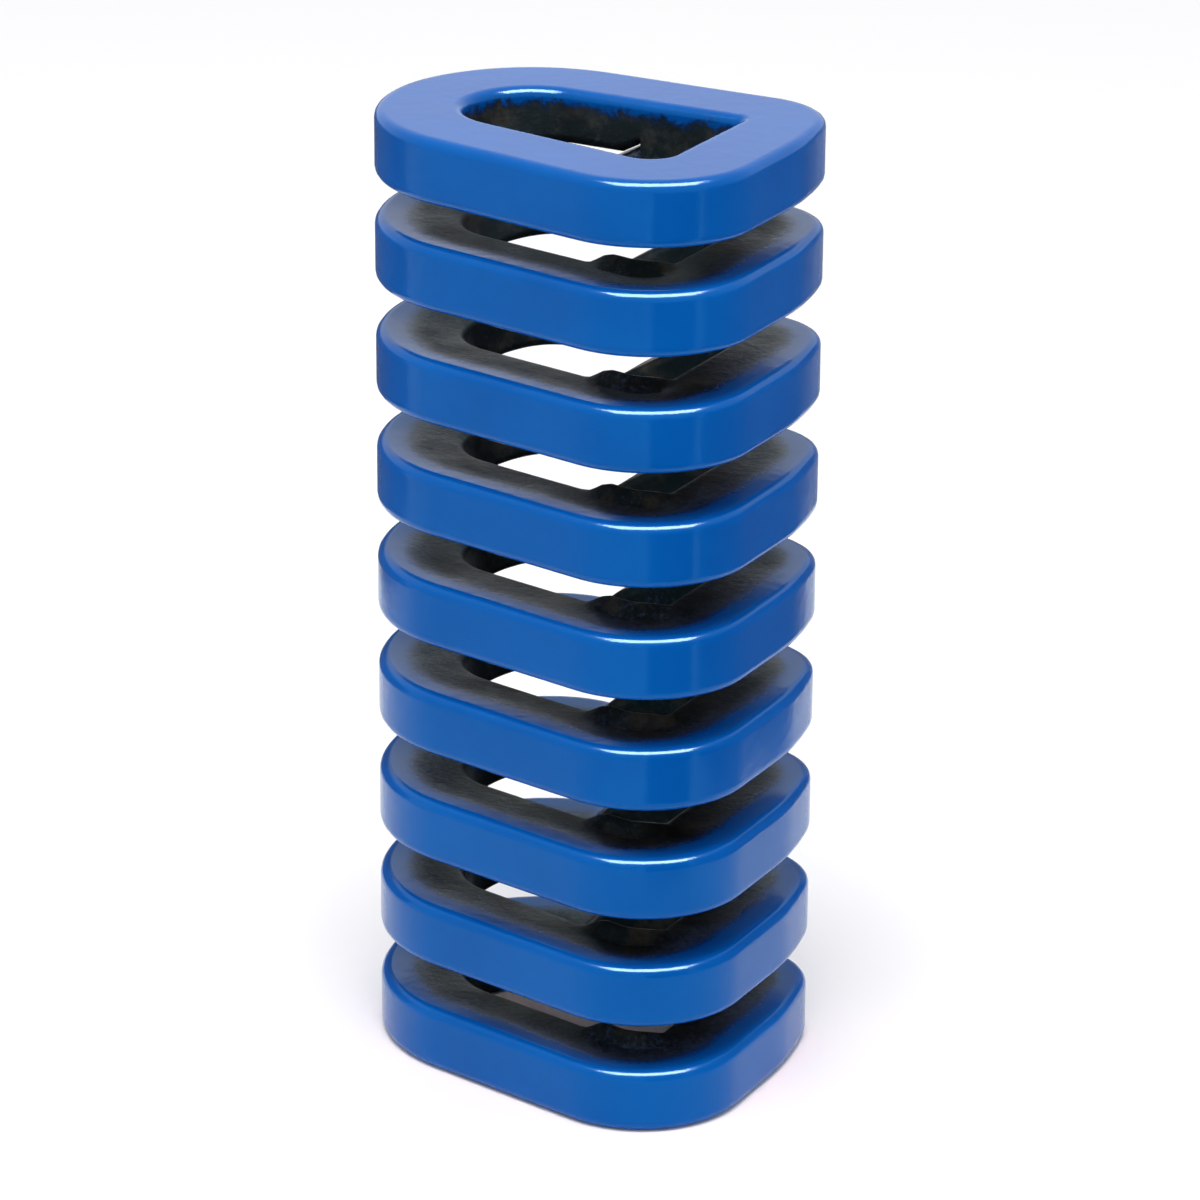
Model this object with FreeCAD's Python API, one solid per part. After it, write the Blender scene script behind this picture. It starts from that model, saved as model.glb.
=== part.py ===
import FreeCAD, Part
import math
import os
from FreeCAD import Vector

# All lengths are millimetres, all angles degrees.
# X runs along the long straight back side, +Y points to the back, +Z is up.
# The origin is the middle of the footprint, on the ground bottom end.

# The wire, wider across than it is high
WIRE_WIDTH = 10.0
WIRE_HEIGHT = 7.6
EDGE_CHAMFER = 0.65

# The hollow that the wire is wound round, seen from above: round at the left,
# square at the right, with a front side that flares out to the right
HOLLOW_LENGTH = 30.0
HOLLOW_LEFT_RADIUS = 7.8
HOLLOW_FRONT_RADIUS = 2.8
HOLLOW_BACK_RADIUS = 0.9
FRONT_FLARE = 10.3

# The turns, with closed pitches next to the two ground ends
TURNS = 9
PITCH = 13.25
TOP_PITCH = 12.2
BOTTOM_PITCH = 13.0

# The rise from one turn to the next: a small lift round the left bend, a short
# level run along the back, then a steep climb to the back right corner
LIFT = 2.5
LIFT_BEND = 115.0
LIFT_STATIONS = 11
LEVEL_RUN = 0.8
CLIMB_RADIUS = 0.8

# The ground ends. The top tip is ground thinner than the wire. Each tip lies on
# the turn next to it, parted from it by a thin slit that stops where the tip is
# only the tip height high.
SLIT = 0.25
TIP_HEIGHT = 5.0
TIP_THINNED = 1.2

# Derived plan dimensions; the left bend is centred on the plan origin
LEFT_RADIUS = HOLLOW_LEFT_RADIUS + WIRE_WIDTH
FRONT_RADIUS = HOLLOW_FRONT_RADIUS + WIRE_WIDTH
BACK_RADIUS = HOLLOW_BACK_RADIUS + WIRE_WIDTH
RIGHT_SIDE = HOLLOW_LENGTH - HOLLOW_LEFT_RADIUS + WIRE_WIDTH
FRONT_ANGLE = math.radians(270.0 - FRONT_FLARE)
FRONT_NORMAL = Vector(math.cos(FRONT_ANGLE), math.sin(FRONT_ANGLE), 0)
BACK_CORNER = Vector(RIGHT_SIDE - BACK_RADIUS, LEFT_RADIUS - BACK_RADIUS, 0)
FRONT_CORNER_X = RIGHT_SIDE - FRONT_RADIUS
FRONT_CORNER_Y = (LEFT_RADIUS - FRONT_RADIUS - FRONT_NORMAL.x * FRONT_CORNER_X) / FRONT_NORMAL.y
FRONT_CORNER = Vector(FRONT_CORNER_X, FRONT_CORNER_Y, 0)
CENTRE_X = (RIGHT_SIDE - LEFT_RADIUS) / 2
CENTRE_Y = (LEFT_RADIUS + FRONT_CORNER.y - FRONT_RADIUS) / 2

# Derived heights: the underside of each turn, bottom first
LEVELS = [0.0, BOTTOM_PITCH]
for _turn in range(TURNS - 3):
    LEVELS.append(LEVELS[-1] + PITCH)
LEVELS.append(LEVELS[-1] + TOP_PITCH)
TOP = LEVELS[-1] + WIRE_HEIGHT


def raised(shape, height):
    """Copy of a shape, lifted."""
    lifted = shape.copy()
    lifted.translate(Vector(0, 0, height))
    return lifted


def polar(centre, radius, angle):
    """Point at a radius and an angle in radians round a centre."""
    return centre + Vector(radius * math.cos(angle), radius * math.sin(angle), 0)


def outline(inset):
    """Closed plan outline of a turn, inset from the outer one."""
    left = LEFT_RADIUS - inset
    back = BACK_RADIUS - inset
    front = FRONT_RADIUS - inset
    below = FRONT_ANGLE - 2 * math.pi
    left_middle = (FRONT_ANGLE + math.pi / 2) / 2
    points = [
        polar(Vector(), left, math.pi / 2),
        polar(BACK_CORNER, back, math.pi / 2),
        polar(BACK_CORNER, back, math.pi / 4),
        polar(BACK_CORNER, back, 0.0),
        polar(FRONT_CORNER, front, 0.0),
        polar(FRONT_CORNER, front, below / 2),
        polar(FRONT_CORNER, front, below),
        polar(Vector(), left, FRONT_ANGLE),
        polar(Vector(), left, left_middle),
    ]
    edges = [
        Part.LineSegment(points[0], points[1]).toShape(),
        Part.Arc(points[1], points[2], points[3]).toShape(),
        Part.LineSegment(points[3], points[4]).toShape(),
        Part.Arc(points[4], points[5], points[6]).toShape(),
        Part.LineSegment(points[6], points[7]).toShape(),
        Part.Arc(points[7], points[8], points[0]).toShape(),
    ]
    return Part.Wire(edges)


def flat_turn():
    """One closed flat turn on the ground, with all its long edges broken."""
    outer = Part.Face(outline(0.0))
    inner = Part.Face(outline(WIRE_WIDTH))
    turn = outer.cut(inner).extrude(Vector(0, 0, WIRE_HEIGHT)).Solids[0]
    long_edges = [edge for edge in turn.Edges if edge.BoundBox.ZLength < EDGE_CHAMFER / 2]
    return turn.makeChamfer(EDGE_CHAMFER, long_edges)


def upright_block(corners):
    """Tall block through all levels over plan corners."""
    loop = corners + corners[:1]
    block = Part.Face(Part.makePolygon(loop)).extrude(Vector(0, 0, 2 * TOP))
    return raised(block, -TOP / 2)


def bend_zone():
    """Block over the part of the left bend in which the wire lifts."""
    far = 3 * LEFT_RADIUS
    start = polar(Vector(), far, math.pi / 2 + math.radians(LIFT_BEND))
    return upright_block([Vector(), start, Vector(start.x, far, 0), Vector(0, far, 0)])


def back_zone():
    """Block over the straight back side, between its two bends."""
    far = 3 * LEFT_RADIUS
    right = BACK_CORNER.x
    return upright_block([Vector(), Vector(right, 0, 0), Vector(right, far, 0), Vector(0, far, 0)])


def section(angle, under, upper):
    """Upright section of the wire at an angle round the left bend."""
    outward = Vector(math.cos(angle), math.sin(angle), 0)
    corners = []
    for across, height in (
        (0, under + EDGE_CHAMFER),
        (EDGE_CHAMFER, under),
        (WIRE_WIDTH - EDGE_CHAMFER, under),
        (WIRE_WIDTH, under + EDGE_CHAMFER),
        (WIRE_WIDTH, upper - EDGE_CHAMFER),
        (WIRE_WIDTH - EDGE_CHAMFER, upper),
        (EDGE_CHAMFER, upper),
        (0, upper - EDGE_CHAMFER),
    ):
        corners.append(outward * (HOLLOW_LEFT_RADIUS + across) + Vector(0, 0, height))
    return Part.makePolygon(corners + corners[:1])


def bend_strand(under_lift, upper_lift):
    """Wire round the left bend, whose two faces gain their lifts in small steps."""
    sections = []
    for station in range(LIFT_STATIONS):
        share = station / (LIFT_STATIONS - 1)
        angle = math.pi / 2 + math.radians(LIFT_BEND) * (1 - share)
        eased = share ** 2 * (3 - 2 * share)
        sections.append(section(angle, under_lift * eased, WIRE_HEIGHT + upper_lift * eased))
    return Part.makeLoft(sections, True, True)


def climb_curve(gain, offset):
    """Long side of the climb seen from the front: level, bend, slope, bend.

    gain is the height won over the climb, and offset the distance above the
    wire's underside.
    """
    first = Vector(LEVEL_RUN, 0, LIFT + WIRE_HEIGHT + CLIMB_RADIUS)
    last = Vector(BACK_CORNER.x, 0, LIFT + gain - CLIMB_RADIUS)
    between = last - first
    steepest = math.atan2(between.z, between.x)
    steepest += math.asin((2 * CLIMB_RADIUS + WIRE_HEIGHT) / between.Length)

    def on_first(angle):
        reach = CLIMB_RADIUS + WIRE_HEIGHT - offset
        return first + Vector(math.sin(angle), 0, -math.cos(angle)) * reach

    def on_last(angle):
        reach = CLIMB_RADIUS + offset
        return last + Vector(-math.sin(angle), 0, math.cos(angle)) * reach

    return [
        Part.LineSegment(Vector(0, 0, LIFT + offset), on_first(0.0)).toShape(),
        Part.Arc(on_first(0.0), on_first(steepest / 2), on_first(steepest)).toShape(),
        Part.LineSegment(on_first(steepest), on_last(steepest)).toShape(),
        Part.Arc(on_last(steepest), on_last(steepest / 2), on_last(0.0)).toShape(),
    ]


def beyond(curve, level):
    """Solid over the wire's width along the back, from a curve to a level."""
    start = curve[0].valueAt(curve[0].FirstParameter)
    end = curve[-1].valueAt(curve[-1].LastParameter)
    chain = [end, Vector(end.x, 0, level), Vector(start.x, 0, level), start]
    edges = list(curve)
    for point, following in zip(chain, chain[1:]):
        edges.append(Part.LineSegment(point, following).toShape())
    face = Part.Face(Part.Wire(edges))
    face.translate(Vector(0, HOLLOW_LEFT_RADIUS, 0))
    return face.extrude(Vector(0, WIRE_WIDTH, 0))


def climb_strand(gain):
    """Wire along the back: the level run and the climb, edges broken."""
    below = beyond(climb_curve(gain, 0.0), -TOP)
    strand = beyond(climb_curve(gain, WIRE_HEIGHT), -TOP).cut(below).Solids[0]
    long_edges = []
    for edge in strand.Edges:
        if edge.BoundBox.YLength < EDGE_CHAMFER / 2 and edge.BoundBox.XLength > EDGE_CHAMFER / 4:
            long_edges.append(edge)
    return strand.makeChamfer(EDGE_CHAMFER, long_edges)


def flat_strip(height):
    """Flat stretch of a ground end along the back, edges broken."""
    strip = Part.makeBox(BACK_CORNER.x, WIRE_WIDTH, height)
    strip.translate(Vector(0, HOLLOW_LEFT_RADIUS, 0))
    long_edges = [edge for edge in strip.Edges if edge.BoundBox.XLength > BACK_CORNER.x / 2]
    return strip.makeChamfer(EDGE_CHAMFER, long_edges)


def back_above(level):
    """Block along the back, over all that lies above a level."""
    block = Part.makeBox(BACK_CORNER.x, WIRE_WIDTH, TOP)
    block.translate(Vector(0, HOLLOW_LEFT_RADIUS, level))
    return block


def top_tip(gain):
    """End of the wire on the top turn, cut free above the climb below it."""
    under = LIFT + gain
    slit_end = under + WIRE_HEIGHT - TIP_HEIGHT
    room = beyond(climb_curve(gain, WIRE_HEIGHT + SLIT), -TOP).cut(back_above(slit_end))
    return raised(flat_strip(WIRE_HEIGHT - TIP_THINNED), under + TIP_THINNED).cut(room)


def bottom_tip(gain):
    """End of the wire on the bottom turn, cut free below the climb over it."""
    room = beyond(climb_curve(gain, -SLIT), TOP).common(back_above(TIP_HEIGHT))
    return flat_strip(WIRE_HEIGHT).cut(room)


turn = flat_turn()
open_turn = turn.cut(bend_zone()).cut(back_zone()).Solids[0]

pieces = []
for level in LEVELS:
    pieces.append(raised(open_turn, level))
for low, high in zip(LEVELS, LEVELS[1:]):
    under_lift = LIFT if low > LEVELS[0] else 0.0
    pieces.append(raised(bend_strand(under_lift, LIFT), low))
    pieces.append(raised(climb_strand(high - low - LIFT), low))
pieces.append(bottom_tip(BOTTOM_PITCH - LIFT))
pieces.append(raised(bend_strand(TIP_THINNED, 0.0), LEVELS[-1]))
pieces.append(raised(top_tip(TOP_PITCH - LIFT), LEVELS[-2]))

spring = pieces[0].multiFuse(pieces[1:])
spring.translate(Vector(-CENTRE_X, -CENTRE_Y, 0))
print("solids", len(spring.Solids), "valid", spring.isValid(), "faces", len(spring.Faces))
print("volume", spring.Volume, "box", spring.BoundBox)

os.makedirs("parts", exist_ok=True)
spring.Solids[0].exportStep("parts/coil_spring.step")
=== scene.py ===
import logging
import math
from dataclasses import dataclass, field
from enum import Enum
from functools import cached_property
from typing import Union

import bmesh
import bpy
from mathutils import Matrix, Vector, noise


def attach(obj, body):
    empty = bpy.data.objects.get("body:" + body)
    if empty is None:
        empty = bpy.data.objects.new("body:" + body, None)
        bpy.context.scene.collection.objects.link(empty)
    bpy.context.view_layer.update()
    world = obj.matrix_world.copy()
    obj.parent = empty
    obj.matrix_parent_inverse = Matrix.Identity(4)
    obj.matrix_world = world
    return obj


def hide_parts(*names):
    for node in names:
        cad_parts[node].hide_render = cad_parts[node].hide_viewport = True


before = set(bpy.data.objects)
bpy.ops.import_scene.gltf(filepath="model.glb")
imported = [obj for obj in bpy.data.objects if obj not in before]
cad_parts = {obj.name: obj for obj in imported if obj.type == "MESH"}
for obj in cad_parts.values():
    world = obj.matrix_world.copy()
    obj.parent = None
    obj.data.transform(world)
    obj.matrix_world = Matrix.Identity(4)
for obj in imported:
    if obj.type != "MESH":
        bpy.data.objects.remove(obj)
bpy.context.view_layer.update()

log = logging.getLogger("die_spring")

Colour = tuple[float, float, float, float]
Span = tuple[float, float]
SectionPoint = tuple[float, float, float]
Socket = bpy.types.NodeSocket
Feed = Union[Socket, float, Colour]

MM = 0.001
QUARTER = math.pi / 2
# Direction of a front side without flare, in degrees
FRONT = 270.0
WHITE: Colour = (1.0, 1.0, 1.0, 1.0)
# Middle value of a noise texture
NOISE_MIDDLE = 0.5
# Least outward y of a station on the straight back
BACK_NORMAL = 0.99
# Place of the upper side among the four faces of the wire's section
UPPER_SIDE = 1
# Tolerances on heights in millimetres
LEVEL_SLACK = 1e-6
TOP_SLACK = 1e-4
# Length in metres under which an edge of the skin is dissolved
SHORTEST_EDGE = 1e-8


# Sizes of the spring


@dataclass(frozen=True)
class SpringSizes:
    """Sizes of the wound wire in millimetres, and the marks that coiling left.

    Attributes:
        wire_width, wire_height: Width from the hollow outwards, and height.
        edge_radius: Radius of the wire's four edges.
        hollow_length: Length of the hollow from left to right.
        hollow_left_radius: Radius of the hollow's left bend.
        hollow_front_radius, hollow_back_radius: Radii of its right bends.
        front_flare: Angle between the front and the back side, in degrees.
        turns: Number of turns.
        pitch: Distance from turn to turn.
        top_pitch, bottom_pitch: Distances of the two end turns from the next.
        lift: Height won round the left bend.
        lift_bend: Last part of the bend, where it is won, in degrees.
        level_run: Stretch of the back before the climb.
        climb_radius: Radius of the climb's inner bends.
        slit: Gap between a tip and the turn that it lies on.
        tip_height: Thickness of a tip where it parts from that turn.
        tip_thinned: How far the top tip is thinned from below at the left bend.
        tip_overlap: How far a tip's thin end reaches past its parting.
        ground_margin: Depth below the top that counts as the ground face.
        free_run: Length of wire, from the bottom tip, over which the marks set in.
        inner_dip: How far the inner upper edge is drawn down.
        back_sag: How far the whole upper side is drawn down along the back.
        recover: Stretch of the climb over which both come up again.
        lip_height: Height of the rim on the inner edge by the front right bend.
        lip_start: Where the rim starts, to the right of the footprint's middle.
        lip_rise: Stretch over which it reaches its height.
        lip_edge, lip_band: Shares of the width outside the rim, and where it rises.
        shoulder_trim: How far the right side draws in before the back right bend.
        shoulder_place: Where it draws in most, behind the footprint's middle.
        shoulder_reach: How far the drawing in reaches from there.
        overspray: Depth that the spray on the top turn reaches in the hollow.
    """

    wire_width: float = 10.0
    wire_height: float = 7.6
    edge_radius: float = 1.1
    hollow_length: float = 30.0
    hollow_left_radius: float = 7.8
    hollow_front_radius: float = 2.8
    hollow_back_radius: float = 0.9
    front_flare: float = 10.3
    turns: int = 9
    pitch: float = 13.25
    top_pitch: float = 12.2
    bottom_pitch: float = 13.0
    lift: float = 2.5
    lift_bend: float = 115.0
    level_run: float = 0.8
    climb_radius: float = 0.8
    slit: float = 0.25
    tip_height: float = 5.0
    tip_thinned: float = 1.2
    tip_overlap: float = 0.05
    ground_margin: float = 0.1
    free_run: float = 30.0
    inner_dip: float = 0.9
    back_sag: float = 1.3
    recover: float = 6.0
    lip_height: float = 1.75
    lip_start: float = 5.9
    lip_rise: float = 3.8
    lip_edge: float = 0.72
    lip_band: float = 0.2
    shoulder_trim: float = 0.9
    shoulder_place: float = 11.0
    shoulder_reach: float = 4.5
    overspray: float = 3.2

    @property
    def left_radius(self) -> float:
        """Outer radius of the left bend."""
        return self.hollow_left_radius + self.wire_width

    @property
    def right_side(self) -> float:
        """Distance of the right side from the centre of the left bend."""
        return self.hollow_length - self.hollow_left_radius + self.wire_width

    @property
    def back_corner(self) -> Vector:
        """Centre of the back right bend."""
        inset = self.hollow_back_radius + self.wire_width
        return Vector((self.right_side - inset, self.left_radius - inset))

    @property
    def front_angle(self) -> float:
        """Direction of the front side's outward normal, in radians."""
        return math.radians(FRONT - self.front_flare)

    @property
    def front_corner(self) -> Vector:
        """Centre of the front right bend.

        Returns:
            The plan point, from the centre of the left bend.
        """
        inset = self.hollow_front_radius + self.wire_width
        normal = towards(self.front_angle)
        x = self.right_side - inset
        return Vector((x, (self.left_radius - inset - normal.x * x) / normal.y))

    @property
    def centre(self) -> Vector:
        """Middle of the footprint, from the centre of the left bend."""
        lowest = self.front_corner.y - self.hollow_front_radius - self.wire_width
        return Vector((self.right_side - self.left_radius, self.left_radius + lowest)) / 2

    @property
    def levels(self) -> list[float]:
        """Height of the underside of each turn.

        Returns:
            One height for each turn, bottom first.
        """
        heights = [0.0, self.bottom_pitch]
        even_steps = self.turns - len(heights) - 1
        for _step in range(even_steps):
            heights.append(heights[-1] + self.pitch)
        heights.append(heights[-1] + self.top_pitch)
        return heights

    @property
    def top(self) -> float:
        """Height of the whole spring."""
        return self.levels[-1] + self.wire_height


def towards(angle: float) -> Vector:
    """Plan direction at an angle in radians."""
    return Vector((math.cos(angle), math.sin(angle)))


def eased(share: float) -> float:
    """Smooth step from 0 to 1, level at both ends."""
    held = min(max(share, 0.0), 1.0)
    return held ** 2 * (3 - 2 * held)


# Run of the wire


@dataclass
class Station:
    """One upright section of the wire.

    Attributes:
        inner: Plan point on the wire's inner side.
        outward: Plan direction to the outer side.
        under, upper: Heights of the underside and of the upper side.
        along: Distance travelled along the middle of the wire.
        sag: How far the whole upper side is drawn down.
        dip: How far its inner edge is drawn down besides.
        lip: Height of the rim that stands on its inner edge.
    """

    inner: Vector
    outward: Vector
    under: float
    upper: float
    along: float = 0.0
    sag: float = 0.0
    dip: float = 0.0
    lip: float = 0.0


@dataclass
class WirePath:
    """Stations of the whole wire, from the bottom tip to the top tip.

    Attributes:
        sizes: Sizes of the spring.
        climb_stations: Number of stations along the back.
        corner_stations, front_stations: Numbers round the two right bends.
        left_stations: Number round the left bend.
        straight_stations: Number on the right side, and on the front.
        halvings: Steps in the search for a place on the climb.
        stations: The stations so far.
    """

    sizes: SpringSizes
    climb_stations: int = 48
    corner_stations: int = 22
    front_stations: int = 26
    left_stations: int = 52
    straight_stations: int = 20
    halvings: int = 40
    stations: list[Station] = field(default_factory=list)

    def build(self) -> list[Station]:
        """Lays the whole wire.

        Returns:
            All the stations, in order along the wire.
        """
        s = self.sizes
        self.bottom_tip()
        self.sides(0.0)
        for low, high in zip(s.levels, s.levels[1:]):
            self.left_bend(low, s.lift if low > s.levels[0] else 0.0, s.lift)
            self.rise(low, high)
            self.sides(high)
        self.left_bend(s.levels[-1], s.tip_thinned, 0.0)
        self.top_tip()
        self.mark()
        return self.stations

    def add(self, inner: Vector, outward: Vector, under: float, upper: float) -> None:
        """Puts one more station at the end of the path."""
        self.stations.append(Station(inner.copy(), outward.copy(), under, upper))

    def add_level(self, inner: Vector, outward: Vector, level: float) -> None:
        """Puts a station of full height on a level."""
        self.add(inner, outward, level, level + self.sizes.wire_height)

    def add_back(self, x: float, under: float, upper: float) -> None:
        """Puts a station on the straight back side."""
        self.add(Vector((x, self.sizes.hollow_left_radius)), Vector((0.0, 1.0)), under, upper)

    def arc(self, centre: Vector, radius: float, angles: Span, count: int, level: float) -> None:
        """Puts level stations round a bend.

        Args:
            centre: Plan point of the bend's centre.
            radius: Radius of the wire's inner side.
            angles: First and last direction from the centre, in radians.
            count: Number of stations.
            level: Height of the underside.
        """
        start, end = angles
        for index in range(1, count + 1):
            outward = towards(start + (end - start) * index / count)
            self.add_level(centre + outward * radius, outward, level)

    def straight(self, end: Vector, outward: Vector, level: float) -> None:
        """Puts level stations on a straight side.

        Args:
            end: Plan point where the side ends.
            outward: Plan direction to the outer side.
            level: Height of the underside.
        """
        start = self.stations[-1].inner
        for index in range(1, self.straight_stations + 1):
            self.add_level(start.lerp(end, index / self.straight_stations), outward, level)

    def sides(self, level: float) -> None:
        """Lays the level part of a turn: back corner, right side, front corner, front.

        Args:
            level: Height of the underside.
        """
        s = self.sizes
        below = s.front_angle - math.tau
        self.arc(s.back_corner, s.hollow_back_radius, (QUARTER, 0.0), self.corner_stations, level)
        right = s.front_corner + Vector((s.hollow_front_radius, 0.0))
        self.straight(right, Vector((1.0, 0.0)), level)
        self.arc(s.front_corner, s.hollow_front_radius, (0.0, below), self.front_stations, level)
        normal = towards(below)
        self.straight(normal * s.hollow_left_radius, normal, level)

    def left_bend(self, level: float, under_lift: float, upper_lift: float) -> None:
        """Lays the left bend, which gains its lifts in its last part.

        Args:
            level: Height of the underside where the bend starts.
            under_lift: Height that the underside gains.
            upper_lift: Height that the upper side gains.
        """
        s = self.sizes
        lift_angle = math.radians(s.lift_bend)
        for index in range(1, self.left_stations + 1):
            angle = s.front_angle + (QUARTER - s.front_angle) * index / self.left_stations
            share = eased(1 - (angle - QUARTER) / lift_angle)
            outward = towards(angle)
            under = level + under_lift * share
            upper = level + s.wire_height + upper_lift * share
            self.add(outward * s.hollow_left_radius, outward, under, upper)

    def climb(self, x: float, offset: float, gain: float) -> float:
        """Height of a side of the climb above the lower level.

        Args:
            x: Place along the back.
            offset: Distance of the side above the wire's underside.
            gain: Height won over the climb.

        Returns:
            The height at that place.
        """
        s = self.sizes
        first = Vector((s.level_run, s.lift + s.wire_height + s.climb_radius))
        last = Vector((s.back_corner.x, s.lift + gain - s.climb_radius))
        between = last - first
        angle = math.atan2(between.y, between.x)
        angle += math.asin((2 * s.climb_radius + s.wire_height) / between.length)
        first_radius = s.climb_radius + s.wire_height - offset
        last_radius = s.climb_radius + offset
        if x <= first.x:
            return s.lift + offset
        if x <= first.x + first_radius * math.sin(angle):
            return first.y - math.sqrt(first_radius ** 2 - (x - first.x) ** 2)
        if x >= last.x - last_radius * math.sin(angle):
            return last.y + math.sqrt(max(last_radius ** 2 - (last.x - x) ** 2, 0.0))
        start_x = first.x + first_radius * math.sin(angle)
        start = first.y - first_radius * math.cos(angle)
        return start + (x - start_x) * math.tan(angle)

    def back_places(self, start: float, end: float) -> list[float]:
        """Even places along the back, both ends included."""
        count = max(2, round(self.climb_stations * (end - start) / self.sizes.back_corner.x))
        return [start + (end - start) * index / count for index in range(count + 1)]

    def place_at(self, height: float, offset: float, gain: float) -> float:
        """Place along the back where a side of the climb reaches a height.

        Args:
            height: Height above the lower level.
            offset: Distance of the side above the wire's underside.
            gain: Height won over the climb.

        Returns:
            The place, found by halving the climb's length.
        """
        left, right = self.sizes.level_run, self.sizes.back_corner.x
        for _halving in range(self.halvings):
            middle = (left + right) / 2
            if self.climb(middle, offset, gain) < height:
                left = middle
            else:
                right = middle
        return left

    @property
    def bottom_gain(self) -> float:
        """Height won over the first climb."""
        return self.sizes.bottom_pitch - self.sizes.lift

    @property
    def top_gain(self) -> float:
        """Height won over the last climb."""
        return self.sizes.top_pitch - self.sizes.lift

    @property
    def bottom_parting(self) -> float:
        """Where the bottom tip parts from the climb over it."""
        return self.place_at(self.sizes.tip_height, -self.sizes.slit, self.bottom_gain)

    @property
    def top_parting(self) -> float:
        """Where the top tip parts from the climb under it.

        Returns:
            The place along the back.
        """
        s = self.sizes
        tip_underside = s.lift + self.top_gain + s.wire_height - s.tip_height
        return self.place_at(tip_underside, s.wire_height + s.slit, self.top_gain)

    def bottom_tip(self) -> None:
        """Lays the first stretch, which grows under the climb of the next turn."""
        s = self.sizes
        for x in self.back_places(self.bottom_parting - s.tip_overlap, s.back_corner.x):
            self.add_back(x, 0.0, min(s.wire_height, self.climb(x, -s.slit, self.bottom_gain)))

    def rise(self, low: float, high: float) -> None:
        """Lays the wire along the back, from one level to the next.

        Args:
            low: Height of the underside of the turn below.
            high: Height of the underside of the turn above.
        """
        s = self.sizes
        gain = high - low - s.lift
        start, stop = s.level_run, s.back_corner.x
        if low == s.levels[0]:
            start = self.bottom_parting
            for x in self.back_places(s.level_run, start):
                self.add_back(x, low, low + self.climb(x, s.wire_height, gain))
        if high == s.levels[-1]:
            stop = self.top_parting
        for x in self.back_places(start, stop):
            under = low + self.climb(x, 0.0, gain)
            self.add_back(x, under, low + self.climb(x, s.wire_height, gain))
        if stop < s.back_corner.x:
            for x in self.back_places(stop, s.back_corner.x):
                self.add_back(x, low + self.climb(x, 0.0, gain), s.top)

    def top_tip(self) -> None:
        """Lays the last stretch, which runs out over the climb below it."""
        s = self.sizes
        low = s.levels[-2]
        for x in self.back_places(0.0, self.top_parting + s.tip_overlap)[1:]:
            free = low + self.climb(x, s.wire_height + s.slit, self.top_gain)
            self.add_back(x, max(s.levels[-1] + s.tip_thinned, free), s.top)

    def mark(self) -> None:
        """Measures the wire up to each station, and puts the marks of coiling there."""
        width = self.sizes.wire_width
        travelled = 0.0
        before = self.stations[0].inner + self.stations[0].outward * width / 2
        for station in self.stations:
            middle = station.inner + station.outward * width / 2
            travelled += (middle - before).length
            station.along = travelled
            self.work(station)
            before = middle

    def work(self, station: Station) -> None:
        """Draws the upper side in where coiling has worked the free turns.

        Args:
            station: The station that takes its sag, dip and lip.
        """
        s = self.sizes
        if station.upper > s.top - s.ground_margin:
            return
        free = eased(station.along / s.free_run)
        free *= 1 - eased((station.under - s.levels[-2]) / s.lift)
        level = max(height for height in s.levels if height <= station.under + LEVEL_SLACK)
        raised = eased((station.upper - level - s.wire_height) / s.lift)
        climbed = eased((station.inner.x - s.level_run) / s.recover)
        if station.outward.y > BACK_NORMAL:
            station.sag = free * s.back_sag * (1 - climbed)
            station.dip = free * s.inner_dip * (1 - climbed)
        elif station.inner.x < s.front_corner.x:
            station.sag = free * s.back_sag * raised
            station.dip = free * s.inner_dip
            if station.inner.y < 0.0:
                place = station.inner.x - s.centre.x
                station.lip = free * s.lip_height * eased((place - s.lip_start) / s.lip_rise)
        else:
            turned = eased(-station.outward.y) if station.inner.y < 0.0 else 0.0
            station.dip = free * s.inner_dip * turned
            station.lip = free * s.lip_height * turned


# Skin of the wire


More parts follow.
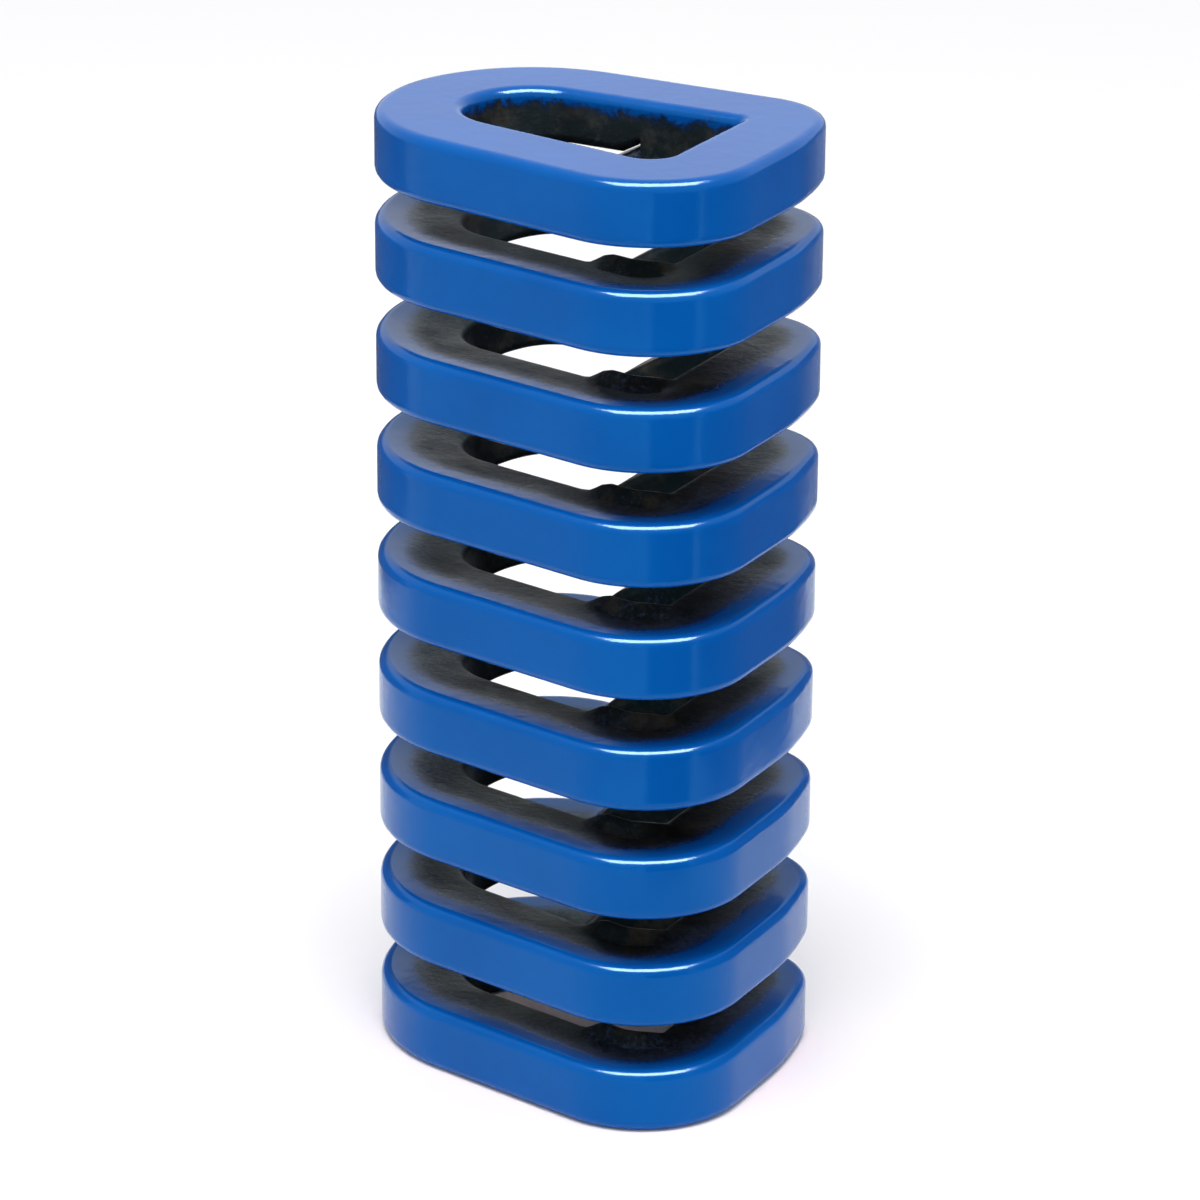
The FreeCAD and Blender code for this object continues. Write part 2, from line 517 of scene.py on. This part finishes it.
@dataclass
class WoundWire:
    """The wire as one swept skin with rounded edges.

    Attributes:
        sizes: Sizes of the spring.
        path: The run of the wire.
        corner_steps: Facets on each rounded edge.
        side_cuts, face_cuts: Shares of an upright and a level side where points lie.
        thin_edge: Share of a thin tip's height that an edge's radius may take.
        waviness, wave_length: Depth and length of the skin's waves, in millimetres.
        sharp_angle: Angle in degrees over which an edge is shaded sharp.
    """

    sizes: SpringSizes
    path: WirePath
    corner_steps: int = 4
    side_cuts: tuple[float, ...] = (0.04, 0.25, 0.5, 0.75, 0.96)
    face_cuts: tuple[float, ...] = (0.03, 0.2, 0.4, 0.6, 0.8, 0.89, 0.97)
    thin_edge: float = 0.45
    waviness: float = 0.05
    wave_length: float = 11.0
    sharp_angle: float = 35.0

    def build(self) -> bpy.types.Object:
        """Makes the wire's mesh.

        Returns:
            The finished object, in metres, in the frame of the solid.
        """
        mesh = bpy.data.meshes.new("wound_wire")
        bm = bmesh.new()
        self.sweep(bm, self.path.build())
        bmesh.ops.dissolve_degenerate(bm, dist=SHORTEST_EDGE, edges=bm.edges)
        ends = [edge for edge in bm.edges if edge.is_boundary]
        bmesh.ops.holes_fill(bm, edges=ends, sides=0)
        bmesh.ops.recalc_face_normals(bm, faces=bm.faces)
        bm.to_mesh(mesh)
        bm.free()
        mesh.shade_smooth()
        mesh.set_sharp_from_angle(angle=math.radians(self.sharp_angle))
        piece = bpy.data.objects.new("wound_wire", mesh)
        bpy.context.scene.collection.objects.link(piece)
        return piece

    def sweep(self, bm: bmesh.types.BMesh, stations: list[Station]) -> None:
        """Lays a row of a grid round the wire at each station, and joins the rows' ends.

        Args:
            bm: Empty mesh that takes the skin.
            stations: The stations, in order along the wire.
        """
        inward = bm.verts.layers.float.new("inward")
        crown = bm.verts.layers.float.new("crown")
        across = len(self.section(stations[0]))
        bmesh.ops.create_grid(bm, x_segments=across, y_segments=len(stations) - 1, size=1.0)
        bm.verts.ensure_lookup_table()
        seam = {}
        for row, station in enumerate(stations):
            first = row * (across + 1)
            points = self.section(station)
            for column, point in enumerate(points + points[:1]):
                vertex = bm.verts[first + column]
                vertex.co = self.skin_place(station, point)
                vertex[inward] = 1 - point[0] / self.sizes.wire_width
                vertex[crown] = self.crowned(station, point[1])
            seam[bm.verts[first + across]] = bm.verts[first]
        bmesh.ops.weld_verts(bm, targetmap=seam)

    def section(self, station: Station) -> list[SectionPoint]:
        """Closed section of the wire.

        Args:
            station: The station that gives the height of the wire.

        Returns:
            Points from the lower outer edge up, over and back round: distance
            across the wire, height, and the angle of the skin's normal.
        """
        width = self.sizes.wire_width
        lowest = station.upper - station.sag - station.dip
        radius = min(self.sizes.edge_radius, (lowest - station.under) * self.thin_edge)
        outer = self.upper_side(station, width - radius) - radius
        inner = self.upper_side(station, radius) - radius
        corners = (
            (width - radius, station.under + radius, -QUARTER, self.side_cuts),
            (width - radius, outer, 0.0, self.face_cuts),
            (radius, inner, QUARTER, self.side_cuts),
            (radius, station.under + radius, math.pi, self.face_cuts),
        )
        points = []
        for index, (across, height, start, cuts) in enumerate(corners):
            for step in range(self.corner_steps + 1):
                angle = start + QUARTER * step / self.corner_steps
                reach = across + radius * math.cos(angle)
                points.append((reach, height + radius * math.sin(angle), angle))
            begin = Vector(points[-1][:2])
            following = corners[(index + 1) % len(corners)]
            end = Vector(following[:2]) + towards(angle) * radius
            for cut in cuts:
                point = begin.lerp(end, cut)
                if index == UPPER_SIDE:
                    point.y = self.upper_side(station, point.x)
                points.append((point.x, point.y, angle))
        return points

    def upper_side(self, station: Station, reach: float) -> float:
        """Height of the wire's upper side.

        Args:
            station: The station that gives the height of the wire.
            reach: Distance across the wire from its inner side.

        Returns:
            The height there, with the marks of coiling.
        """
        inward = 1 - reach / self.sizes.wire_width
        rim = eased((inward - self.sizes.lip_edge) / self.sizes.lip_band)
        return station.upper - station.sag - station.dip * inward + station.lip * rim

    def skin_place(self, station: Station, point: SectionPoint) -> Vector:
        """Place of a point of the section on the uneven skin.

        Args:
            station: The station that the section stands at.
            point: Distance across the wire, height, and angle of the normal.

        Returns:
            The place in metres, in the frame of the solid.
        """
        reach, height, angle = point
        plan = station.inner + station.outward * reach - self.sizes.centre
        plan.x -= self.shoulder(plan, reach / self.sizes.wire_width)
        sideways = station.outward * math.cos(angle)
        normal = Vector((sideways.x, sideways.y, math.sin(angle)))
        place = Vector((plan.x, plan.y, height))
        return (place - normal * self.hollow(place)) * MM

    def shoulder(self, plan: Vector, share: float) -> float:
        """How far the outer side draws in before the back right bend.

        Args:
            plan: Plan point, from the middle of the footprint.
            share: Place across the wire, from 0 inside to 1 outside.

        Returns:
            The distance in millimetres, towards the left.
        """
        s = self.sizes
        along = math.exp(-((plan.y - s.shoulder_place) / s.shoulder_reach) ** 2)
        right_half = eased(plan.x / s.wire_width)
        return s.shoulder_trim * along * share ** 2 * right_half

    def crowned(self, station: Station, height: float) -> float:
        """How much of the spray on the top turn reaches a height.

        Args:
            station: The station that the height belongs to.
            height: Height of a point on its section.

        Returns:
            A share from 0 to 1, which is 0 on every turn but the top one.
        """
        s = self.sizes
        if station.upper < s.top - TOP_SLACK:
            return 0.0
        return min(max(1 - (s.top - height) / s.overspray, 0.0), 1.0)

    def hollow(self, place: Vector) -> float:
        """Depth in millimetres by which the skin lies in, as coiled wire is uneven."""
        return self.waviness * (0.5 + 0.5 * noise.noise(place / self.wave_length))


# Helpers for the materials


@dataclass(frozen=True)
class Grain:
    """Noise pattern of a surface.

    Attributes:
        scale: Patches of the coarsest noise per metre.
        detail: Number of finer noises on top of it.
        roughness: How strong the finer ones are.
    """

    scale: float
    detail: float
    roughness: float = 0.5


class Mix(Enum):
    """Kinds of mix: data type, places of its two inputs, and place of its output."""

    NUMBER = ("FLOAT", 2, 3, 0)
    COLOUR = ("RGBA", 6, 7, 2)


class NodeBench:
    """Small helper that places and joins the nodes of one tree."""

    def __init__(self, tree: bpy.types.NodeTree) -> None:
        """Keeps the tree and empties it."""
        self.tree = tree
        tree.nodes.clear()

    def add(self, kind: str, **values: object) -> bpy.types.Node:
        """Makes a node.

        Args:
            kind: Blender's name for the kind of node.
            **values: Properties to set on it.

        Returns:
            The node.
        """
        node = self.tree.nodes.new(kind)
        for name, value in values.items():
            setattr(node, name, value)
        return node

    @cached_property
    def place(self) -> Socket:
        """Coordinates on the object, in metres."""
        return self.add("ShaderNodeTexCoord").outputs["Object"]

    def join(self, source: Socket, target: Socket) -> None:
        """Links two sockets."""
        self.tree.links.new(source, target)

    def feed(self, value: Feed, target: Socket) -> None:
        """Links a socket to an input, or sets a plain value on it.

        Args:
            value: Socket, number or colour.
            target: The input that takes it.
        """
        if isinstance(value, Socket):
            self.join(value, target)
        else:
            target.default_value = value

    def show(self, shader: Socket, kind: str = "ShaderNodeOutputMaterial") -> None:
        """Ends the tree with its output node."""
        self.join(shader, self.add(kind).inputs["Surface"])

    def attribute(self, name: str) -> Socket:
        """Number stored on the mesh under a name."""
        return self.add("ShaderNodeAttribute", attribute_name=name).outputs["Fac"]

    def math(self, kind: str, first: Feed, second: Feed, clamp: bool = False) -> Socket:
        """Math node on two numbers.

        Args:
            kind: Blender's name for the operation.
            first: First number or its socket.
            second: Second number or its socket.
            clamp: Whether the result is held between 0 and 1.

        Returns:
            The socket of the result.
        """
        node = self.add("ShaderNodeMath", operation=kind, use_clamp=clamp)
        self.feed(first, node.inputs[0])
        self.feed(second, node.inputs[1])
        return node.outputs[0]

    def plus(self, first: Feed, second: Feed) -> Socket:
        """Sum of two numbers."""
        return self.math("ADD", first, second)

    def minus(self, first: Feed, second: Feed) -> Socket:
        """Difference of two numbers."""
        return self.math("SUBTRACT", first, second)

    def times(self, first: Feed, second: Feed) -> Socket:
        """Product of two numbers."""
        return self.math("MULTIPLY", first, second)

    def mean(self, first: Feed, second: Feed) -> Socket:
        """Mean of two numbers."""
        return self.times(self.plus(first, second), 0.5)

    def ramp(self, value: Socket, span: Span) -> Socket:
        """Smooth step of a value.

        Args:
            value: Socket of the value.
            span: Values at which the step is 0 and 1.

        Returns:
            The socket of the step.
        """
        node = self.add("ShaderNodeMapRange", interpolation_type="SMOOTHSTEP")
        self.join(value, node.inputs["Value"])
        node.inputs["From Min"].default_value = span[0]
        node.inputs["From Max"].default_value = span[1]
        return node.outputs["Result"]

    def noise(self, grain: Grain) -> Socket:
        """Noise pattern.

        Args:
            grain: The pattern.

        Returns:
            The socket of its value.
        """
        node = self.add("ShaderNodeTexNoise")
        self.join(self.place, node.inputs["Vector"])
        node.inputs["Scale"].default_value = grain.scale
        node.inputs["Detail"].default_value = grain.detail
        node.inputs["Roughness"].default_value = grain.roughness
        return node.outputs["Fac"]

    def centred(self, grain: Grain) -> Socket:
        """Noise pattern around 0."""
        return self.minus(self.noise(grain), NOISE_MIDDLE)

    def seen(self) -> Socket:
        """Finds the rays that show a thing, rather than light it.

        Returns:
            1 for camera, glossy and transmission rays, and 0 for the rest.
        """
        path = self.add("ShaderNodeLightPath")
        seen = self.math("MAXIMUM", path.outputs["Is Camera Ray"], path.outputs["Is Glossy Ray"])
        return self.math("MAXIMUM", seen, path.outputs["Is Transmission Ray"])

    def mixed(self, mix: Mix, share: Socket, first: Feed, second: Feed) -> Socket:
        """Mix of two values.

        Args:
            mix: Kind of the values.
            share: Socket of the second value's share.
            first: Value where the share is 0.
            second: Value where the share is 1.

        Returns:
            The socket of the mixed value.
        """
        data_type, first_place, second_place, result_place = mix.value
        node = self.add("ShaderNodeMix", data_type=data_type)
        self.join(share, node.inputs["Factor"])
        self.feed(first, node.inputs[first_place])
        self.feed(second, node.inputs[second_place])
        return node.outputs[result_place]

    def mix(self, share: Socket, first: Feed, second: Feed) -> Socket:
        """Colour mixed by a share."""
        return self.mixed(Mix.COLOUR, share, first, second)

    def blend(self, share: Socket, first: Feed, second: Feed) -> Socket:
        """Number mixed by a share."""
        return self.mixed(Mix.NUMBER, share, first, second)


# Finish of the wire


@dataclass(frozen=True)
class SprayedEnamel:
    """Glossy enamel on the outside, which fades to bare dark steel inside.

    Attributes:
        name: Name of the material.
        enamel, enamel_deep: Colours of the thick coat and of its clouds.
        thin_coat: Colour of the coat where it thins out.
        steel, steel_pale: Colours of the bare steel and of its specks.
        mist_and_sheen: Colour of the blue overspray droplets on the steel; partly a painted bluish
            sheen.
        reflection_tint: Tint of what the wire reflects.
        index_of_refraction: How strongly it reflects.
        enamel_roughness, steel_roughness: Least and greatest roughness.
        spray_reach: How far the spray reaches across the wire, as a share.
        spray_fade: How far it takes to fade, to each side of that.
        speckle, ragged, drift: Fine, middle and coarse grain of its edge.
        speckle_share, ragged_share, drift_share: How far they shift the edge.
        crown_span: Limits of the spray over the top turn's edge.
        cover_span: Coverage where the enamel starts to show, and hides the steel.
        thin_span: Coverage where the coat is thin, and thick.
        cloud, cloud_span: Pattern of the enamel's clouds, and its limits.
        mottle, pale_span: Pattern of the steel's specks, and its limits.
        patch, patch_span: Pattern of the steel's rougher patches, and its limits.
        droplets, gusts: Pattern of the droplets and painted sheen, and of where they are thick.
        droplets_share, gusts_share: Their shares of the droplets' colour.
        near_share: Share that grows towards the enamel.
        mist_and_sheen_span: Limits of the droplets and painted sheen.
        peel, peel_depth: Orange peel of the enamel, and its depth in metres.
        scale, scale_depth: Wrinkled scale of the steel, and its depth in metres.
    """

    name: str = "blue_enamel"
    enamel: Colour = (0.0, 0.086, 0.375, 1.0)
    enamel_deep: Colour = (0.0, 0.073, 0.335, 1.0)
    thin_coat: Colour = (0.0, 0.016, 0.10, 1.0)
    steel: Colour = (0.007, 0.005, 0.003, 1.0)
    steel_pale: Colour = (0.04, 0.029, 0.017, 1.0)
    mist_and_sheen: Colour = (0.045, 0.062, 0.12, 1.0)
    reflection_tint: Colour = (0.2, 0.8, 1.0, 1.0)
    index_of_refraction: float = 1.4
    enamel_roughness: Span = (0.13, 0.21)
    steel_roughness: Span = (0.24, 0.68)
    spray_reach: float = 0.40
    spray_fade: float = 0.2
    speckle: Grain = Grain(1500.0, 4.0, 0.7)
    speckle_share: float = 0.12
    ragged: Grain = Grain(330.0, 5.0, 0.65)
    ragged_share: float = 0.14
    drift: Grain = Grain(55.0, 3.0)
    drift_share: float = 0.22
    crown_span: Span = (0.15, 0.8)
    cover_span: Span = (0.02, 0.8)
    thin_span: Span = (0.35, 0.95)
    cloud: Grain = Grain(60.0, 4.0)
    cloud_span: Span = (0.3, 0.7)
    mottle: Grain = Grain(260.0, 6.0, 0.65)
    pale_span: Span = (0.46, 0.72)
    patch: Grain = Grain(50.0, 5.0, 0.6)
    patch_span: Span = (0.34, 0.66)
    droplets: Grain = Grain(1900.0, 3.0, 0.75)
    droplets_share: float = 0.9
    gusts: Grain = Grain(90.0, 4.0, 0.6)
    gusts_share: float = 0.7
    near_share: float = 0.3
    mist_and_sheen_span: Span = (0.85, 1.2)
    peel: Grain = Grain(700.0, 3.0)
    peel_depth: float = 0.00003
    scale: Grain = Grain(900.0, 5.0, 0.62)
    scale_depth: float = 0.00012

    def build(self) -> bpy.types.Material:
        """Makes the material with its nodes.

        Returns:
            The material.
        """
        material = bpy.data.materials.new(self.name)
        material.use_nodes = True
        bench = NodeBench(material.node_tree)
        spray = self.coverage(bench)
        mottle = bench.noise(self.mottle)
        cloud = bench.noise(self.cloud)
        steel = self.steel_colour(bench, mottle)
        enamel = self.enamel_colour(bench, spray, cloud)
        colour = bench.mix(bench.ramp(spray, self.cover_span), steel, enamel)
        steel_gloss = self.steel_gloss(bench, mottle)
        enamel_gloss = bench.blend(cloud, *self.enamel_roughness)
        shader = bench.add("ShaderNodeBsdfPrincipled")
        shader.inputs["Specular Tint"].default_value = self.reflection_tint
        shader.inputs["IOR"].default_value = self.index_of_refraction
        bench.join(colour, shader.inputs["Base Color"])
        bench.join(bench.blend(spray, steel_gloss, enamel_gloss), shader.inputs["Roughness"])
        bench.join(self.relief(bench, spray), shader.inputs["Normal"])
        bench.show(shader.outputs["BSDF"])
        return material

    def coverage(self, bench: NodeBench) -> Socket:
        """How much enamel covers a place.

        Args:
            bench: Bench of the material.

        Returns:
            A share from 0, bare, to 1, covered.
        """
        speckle = bench.centred(self.speckle)
        ragged = bench.centred(self.ragged)
        drift = bench.centred(self.drift)
        depth = bench.plus(bench.attribute("inward"), bench.times(speckle, self.speckle_share))
        depth = bench.plus(depth, bench.times(ragged, self.ragged_share))
        depth = bench.plus(depth, bench.times(drift, self.drift_share))
        limits = (self.spray_reach + self.spray_fade, self.spray_reach - self.spray_fade)
        covered = bench.ramp(depth, limits)
        rim = bench.plus(bench.plus(bench.attribute("crown"), ragged), speckle)
        crowned = bench.ramp(rim, self.crown_span)
        return bench.math("MAXIMUM", covered, crowned, clamp=True)

    def enamel_colour(self, bench: NodeBench, spray: Socket, cloud: Socket) -> Socket:
        """Clouded blue, darker where the coat is thin."""
        thick = bench.mix(bench.ramp(cloud, self.cloud_span), self.enamel_deep, self.enamel)
        return bench.mix(bench.ramp(spray, self.thin_span), self.thin_coat, thick)

    def steel_colour(self, bench: NodeBench, mottle: Socket) -> Socket:
        """Dark steel with pale specks, and blue droplets that also paint a bluish sheen."""
        bare = bench.mix(bench.ramp(mottle, self.pale_span), self.steel, self.steel_pale)
        # The droplets' colour is partly overspray and partly a painted bluish sheen.
        return bench.mix(self.mist_and_sheen_share(bench), bare, self.mist_and_sheen)

    def steel_gloss(self, bench: NodeBench, mottle: Socket) -> Socket:
        """Roughness of the steel, in patches."""
        patch = bench.ramp(bench.noise(self.patch), self.patch_span)
        return bench.blend(bench.mean(patch, mottle), *self.steel_roughness)

    def mist_and_sheen_share(self, bench: NodeBench) -> Socket:
        """Fine blue droplets on the steel, which also paint a bluish sheen, thicker near the edge
        of the enamel.

        Args:
            bench: Bench of the material.

        Returns:
            The droplets' share of the colour, painted sheen included.
        """
        droplets = bench.times(bench.noise(self.droplets), self.droplets_share)
        gusts = bench.times(bench.noise(self.gusts), self.gusts_share)
        near = bench.times(bench.minus(1.0, bench.attribute("inward")), self.near_share)
        return bench.ramp(bench.plus(bench.plus(droplets, gusts), near), self.mist_and_sheen_span)

    def relief(self, bench: NodeBench, spray: Socket) -> Socket:
        """Orange peel on the enamel and wrinkled scale on the steel.

        Args:
            bench: Bench of the material.
            spray: Socket of the enamel's coverage.

        Returns:
            The socket of the normal.
        """
        peel = bench.times(bench.centred(self.peel), self.peel_depth)
        scale = bench.times(bench.centred(self.scale), self.scale_depth)
        bump = bench.add("ShaderNodeBump")
        bump.inputs["Strength"].default_value = 1.0
        bump.inputs["Distance"].default_value = 1.0
        bench.join(bench.blend(spray, scale, peel), bump.inputs["Height"])
        return bump.outputs["Normal"]


# Studio


class Rays(Enum):
    """Kinds of rays that a lamp is shown to."""

    SHADING = "shading"
    REFLECTIONS = "reflections"


@dataclass(frozen=True)
class Panel:
    """Rectangular lamp of the studio.

    Attributes:
        name: Name of its object.
        azimuth: Direction from the spring, in degrees to the right of the camera's.
        elevation: Height of its direction, in degrees.
        distance: Distance of its middle from the spring's middle, in metres.
        width, height: Its level size and its other size, in metres.
        radiance, colour: Brightness, and its red, green and blue shares.
        shown: Kind of rays that it is shown to.
    """

    name: str
    azimuth: float
    elevation: float
    distance: float
    width: float
    height: float
    radiance: float
    colour: tuple[float, float, float]
    shown: Rays


@dataclass(frozen=True)
class Card:
    """Upright card on the floor, shown only to reflections.

    Attributes:
        name: Name of its object.
        start, end: Directions of its ends, in degrees to the right of the camera's.
        distance: Distance of both ends from the foot point, in metres.
        top: Height of its upper edge.
        grey: Colour of the card, lit by the same lamps.
        foot: Point on the floor that the directions start from.
    """

    name: str
    start: float
    end: float
    distance: float
    top: float
    grey: float
    foot: tuple[float, float, float] = (0.0, 0.0, 0.0)


SOFTBOX = Panel("softbox", -6.0, 74.0, 0.9, 0.42, 0.36, 9.0, (1.0, 1.0, 1.0), Rays.SHADING)
STREAK = Panel("streak", 9.0, 67.0, 0.9, 1.1, 0.53, 76.0, (1.0, 0.42, 0.44), Rays.REFLECTIONS)

FLAG = Card("flag", 1.0, 48.0, 0.085, 0.095, 0.01, (0.018, -0.013, 0.0))
LEFT_CARD = Card("left_card", -172.0, -100.0, 0.2, 0.11, 0.12)
FRONT_CARD = Card("front_card", -100.0, 0.0, 0.16, 0.11, 0.95)
RIGHT_CARD = Card("right_card", 50.0, 136.0, 0.14, 0.11, 0.14)
BACK_CARD = Card("back_card", 136.0, 172.0, 0.2, 0.11, 0.35)


@dataclass(frozen=True)
class Studio:
    """White floor, soft lamps, cards and the camera of the photograph.

    Attributes:
        lamps: The lamps.
        cards: The cards.
        lamp_watts: Power per square metre that gives a lamp a radiance of 1.
        floor_half: Half the side of the floor, in metres.
        floor_colour, floor_glow: Its colour, and what its open part adds to that.
        contact_distance: How near the object the floor's glow is taken off, which paints a contact
            shade, in metres.
        contact_span: Openness of the floor at which its glow starts, and is full.
        contact_samples: Rays that measure the openness.
        world_level: Light of the surroundings.
        middle: Point that the lamps are turned to.
        lens, sensor: Focal length, and width of the sensor, in millimetres.
        camera_place: Place of the camera in metres.
        azimuth: Direction of the camera, in degrees from the front to the right.
        elevation: How far the camera looks down, in degrees.
        roll: Turn of the camera about its view, in degrees.
    """

    lamps: tuple[Panel, ...] = (SOFTBOX, STREAK)
    cards: tuple[Card, ...] = (FLAG, FRONT_CARD, LEFT_CARD, RIGHT_CARD, BACK_CARD)
    lamp_watts: float = 4.0
    floor_half: float = 3.0
    floor_colour: Colour = (0.8, 0.8, 0.81, 1.0)
    floor_glow: float = 0.07
    contact_distance: float = 0.038
    contact_span: Span = (0.15, 1.0)
    contact_samples: int = 8
    world_level: float = 0.85
    middle: tuple[float, float, float] = (0.0, 0.0, 0.056)
    lens: float = 153.5
    sensor: float = 36.0
    camera_place: tuple[float, float, float] = (0.266, -0.477, 0.2652)
    azimuth: float = 28.9
    elevation: float = 21.01
    roll: float = 0.43

    def build(self) -> None:
        """Makes the floor, the cards, the world, the lamps and the camera."""
        self.floor()
        for card in self.cards:
            self.card(card)
        self.world()
        for panel in self.lamps:
            self.lamp(panel)
        self.camera()

    def direction(self, azimuth: float, elevation: float) -> Vector:
        """Direction from the spring.

        Args:
            azimuth: Degrees to the right of the camera's direction.
            elevation: Degrees above the floor.

        Returns:
            The unit vector.
        """
        turn = math.radians(self.azimuth + azimuth)
        tilt = math.radians(elevation)
        level = math.cos(tilt)
        return Vector((math.sin(turn) * level, -math.cos(turn) * level, math.sin(tilt)))

    def put(self, name: str, bm: bmesh.types.BMesh) -> bpy.types.Object:
        """Makes a stage object.

        Args:
            name: Name of the object.
            bm: Its mesh, which is used up.

        Returns:
            The object.
        """
        mesh = bpy.data.meshes.new(name)
        bm.to_mesh(mesh)
        bm.free()
        piece = bpy.data.objects.new(name, mesh)
        bpy.context.scene.collection.objects.link(piece)
        return piece

    def dress(self, piece: bpy.types.Object, name: str) -> NodeBench:
        """Gives a stage object its material.

        Args:
            piece: The object.
            name: Name of the material.

        Returns:
            The empty bench of the material.
        """
        material = bpy.data.materials.new(name)
        material.use_nodes = True
        piece.data.materials.append(material)
        return NodeBench(material.node_tree)

    def floor(self) -> None:
        """Makes the white floor, which keeps the shadow, with a painted contact shade where its
        glow fades near the object.
        """
        bm = bmesh.new()
        bmesh.ops.create_grid(bm, x_segments=1, y_segments=1, size=self.floor_half)
        bench = self.dress(self.put("floor", bm), "floor_white")
        diffuse = bench.add("ShaderNodeBsdfDiffuse")
        diffuse.inputs["Color"].default_value = self.floor_colour
        near = bench.add("ShaderNodeAmbientOcclusion", samples=self.contact_samples)
        near.inputs["Distance"].default_value = self.contact_distance
        glow = bench.add("ShaderNodeEmission")
        # Painted contact shade: the glow is taken off where the object closes the floor in, on top
        # of the real shadow.
        share = bench.times(bench.ramp(near.outputs["AO"], self.contact_span), self.floor_glow)
        bench.join(bench.times(bench.seen(), share), glow.inputs["Strength"])
        both = bench.add("ShaderNodeAddShader")
        bench.join(diffuse.outputs["BSDF"], both.inputs[0])
        bench.join(glow.outputs["Emission"], both.inputs[1])
        bench.show(both.outputs["Shader"])

    def card(self, card: Card) -> None:
        """Makes an upright card that only reflections show.

        Args:
            card: The card's sizes and place.
        """
        bm = bmesh.new()
        foot = []
        for azimuth in (card.start, card.end):
            end = Vector(card.foot) + self.direction(azimuth, 0.0) * card.distance
            foot.append(bm.verts.new(end))
        edge = bm.edges.new(foot)
        raised = bmesh.ops.extrude_edge_only(bm, edges=[edge])["geom"]
        corners = [item for item in raised if isinstance(item, bmesh.types.BMVert)]
        bmesh.ops.translate(bm, verts=corners, vec=Vector((0.0, 0.0, card.top)))
        piece = self.put(card.name, bm)
        bench = self.dress(piece, f"{card.name}_grey")
        diffuse = bench.add("ShaderNodeBsdfDiffuse")
        diffuse.inputs["Color"].default_value = (card.grey, card.grey, card.grey, 1.0)
        bench.show(diffuse.outputs["BSDF"])
        piece.visible_camera = False
        piece.visible_diffuse = False
        piece.visible_shadow = False
        piece.visible_transmission = False

    def world(self) -> None:
        """Makes the even white surroundings."""
        world = bpy.data.worlds.new("studio")
        world.use_nodes = True
        bpy.context.scene.world = world
        bench = NodeBench(world.node_tree)
        background = bench.add("ShaderNodeBackground")
        background.inputs["Color"].default_value = WHITE
        bench.join(bench.blend(bench.seen(), self.world_level, 1.0), background.inputs["Strength"])
        bench.show(background.outputs["Background"], "ShaderNodeOutputWorld")

    def lamp(self, panel: Panel) -> None:
        """Makes a rectangular lamp that is turned to the middle of the spring.

        Args:
            panel: The lamp's sizes, place and brightness.
        """
        data = bpy.data.lights.new(panel.name, "AREA")
        data.shape = "RECTANGLE"
        data.size = panel.width
        data.size_y = panel.height
        data.energy = panel.radiance * self.lamp_watts * panel.width * panel.height
        data.color = panel.colour
        lamp = bpy.data.objects.new(panel.name, data)
        aim = -self.direction(panel.azimuth, panel.elevation)
        lamp.location = Vector(self.middle) - aim * panel.distance
        lamp.rotation_euler = aim.to_track_quat("-Z", "Y").to_euler()
        lamp.visible_camera = False
        lamp.visible_diffuse = panel.shown is Rays.SHADING
        lamp.visible_glossy = panel.shown is Rays.REFLECTIONS
        bpy.context.scene.collection.objects.link(lamp)

    def camera(self) -> None:
        """Makes the camera at the photograph's place and angle."""
        roll = math.radians(self.roll)
        view = -self.direction(0.0, self.elevation)
        level = view.cross(Vector((0.0, 0.0, 1.0))).normalized()
        up = level.cross(view)
        right = level * math.cos(roll) + up * math.sin(roll)
        up = up * math.cos(roll) - level * math.sin(roll)
        turned = Matrix((right, up, -view)).transposed().to_4x4()
        data = bpy.data.cameras.new("camera")
        data.sensor_fit = "HORIZONTAL"
        data.sensor_width = self.sensor
        data.lens = self.lens
        camera = bpy.data.objects.new("camera", data)
        camera.matrix_world = Matrix.Translation(self.camera_place) @ turned
        bpy.context.scene.collection.objects.link(camera)
        bpy.context.scene.camera = camera


# The whole scene


def main() -> None:
    """Builds the spring and the studio round it."""
    logging.basicConfig(level=logging.INFO)
    bpy.context.scene.view_settings.view_transform = "Standard"
    sizes = SpringSizes()
    wire = WoundWire(sizes, WirePath(sizes)).build()
    wire.data.materials.append(SprayedEnamel().build())
    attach(wire, "root")
    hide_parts("coil_spring")
    log.info("%s: %d faces", wire.name, len(wire.data.polygons))
    Studio().build()


if __name__ == "__main__":
    main()
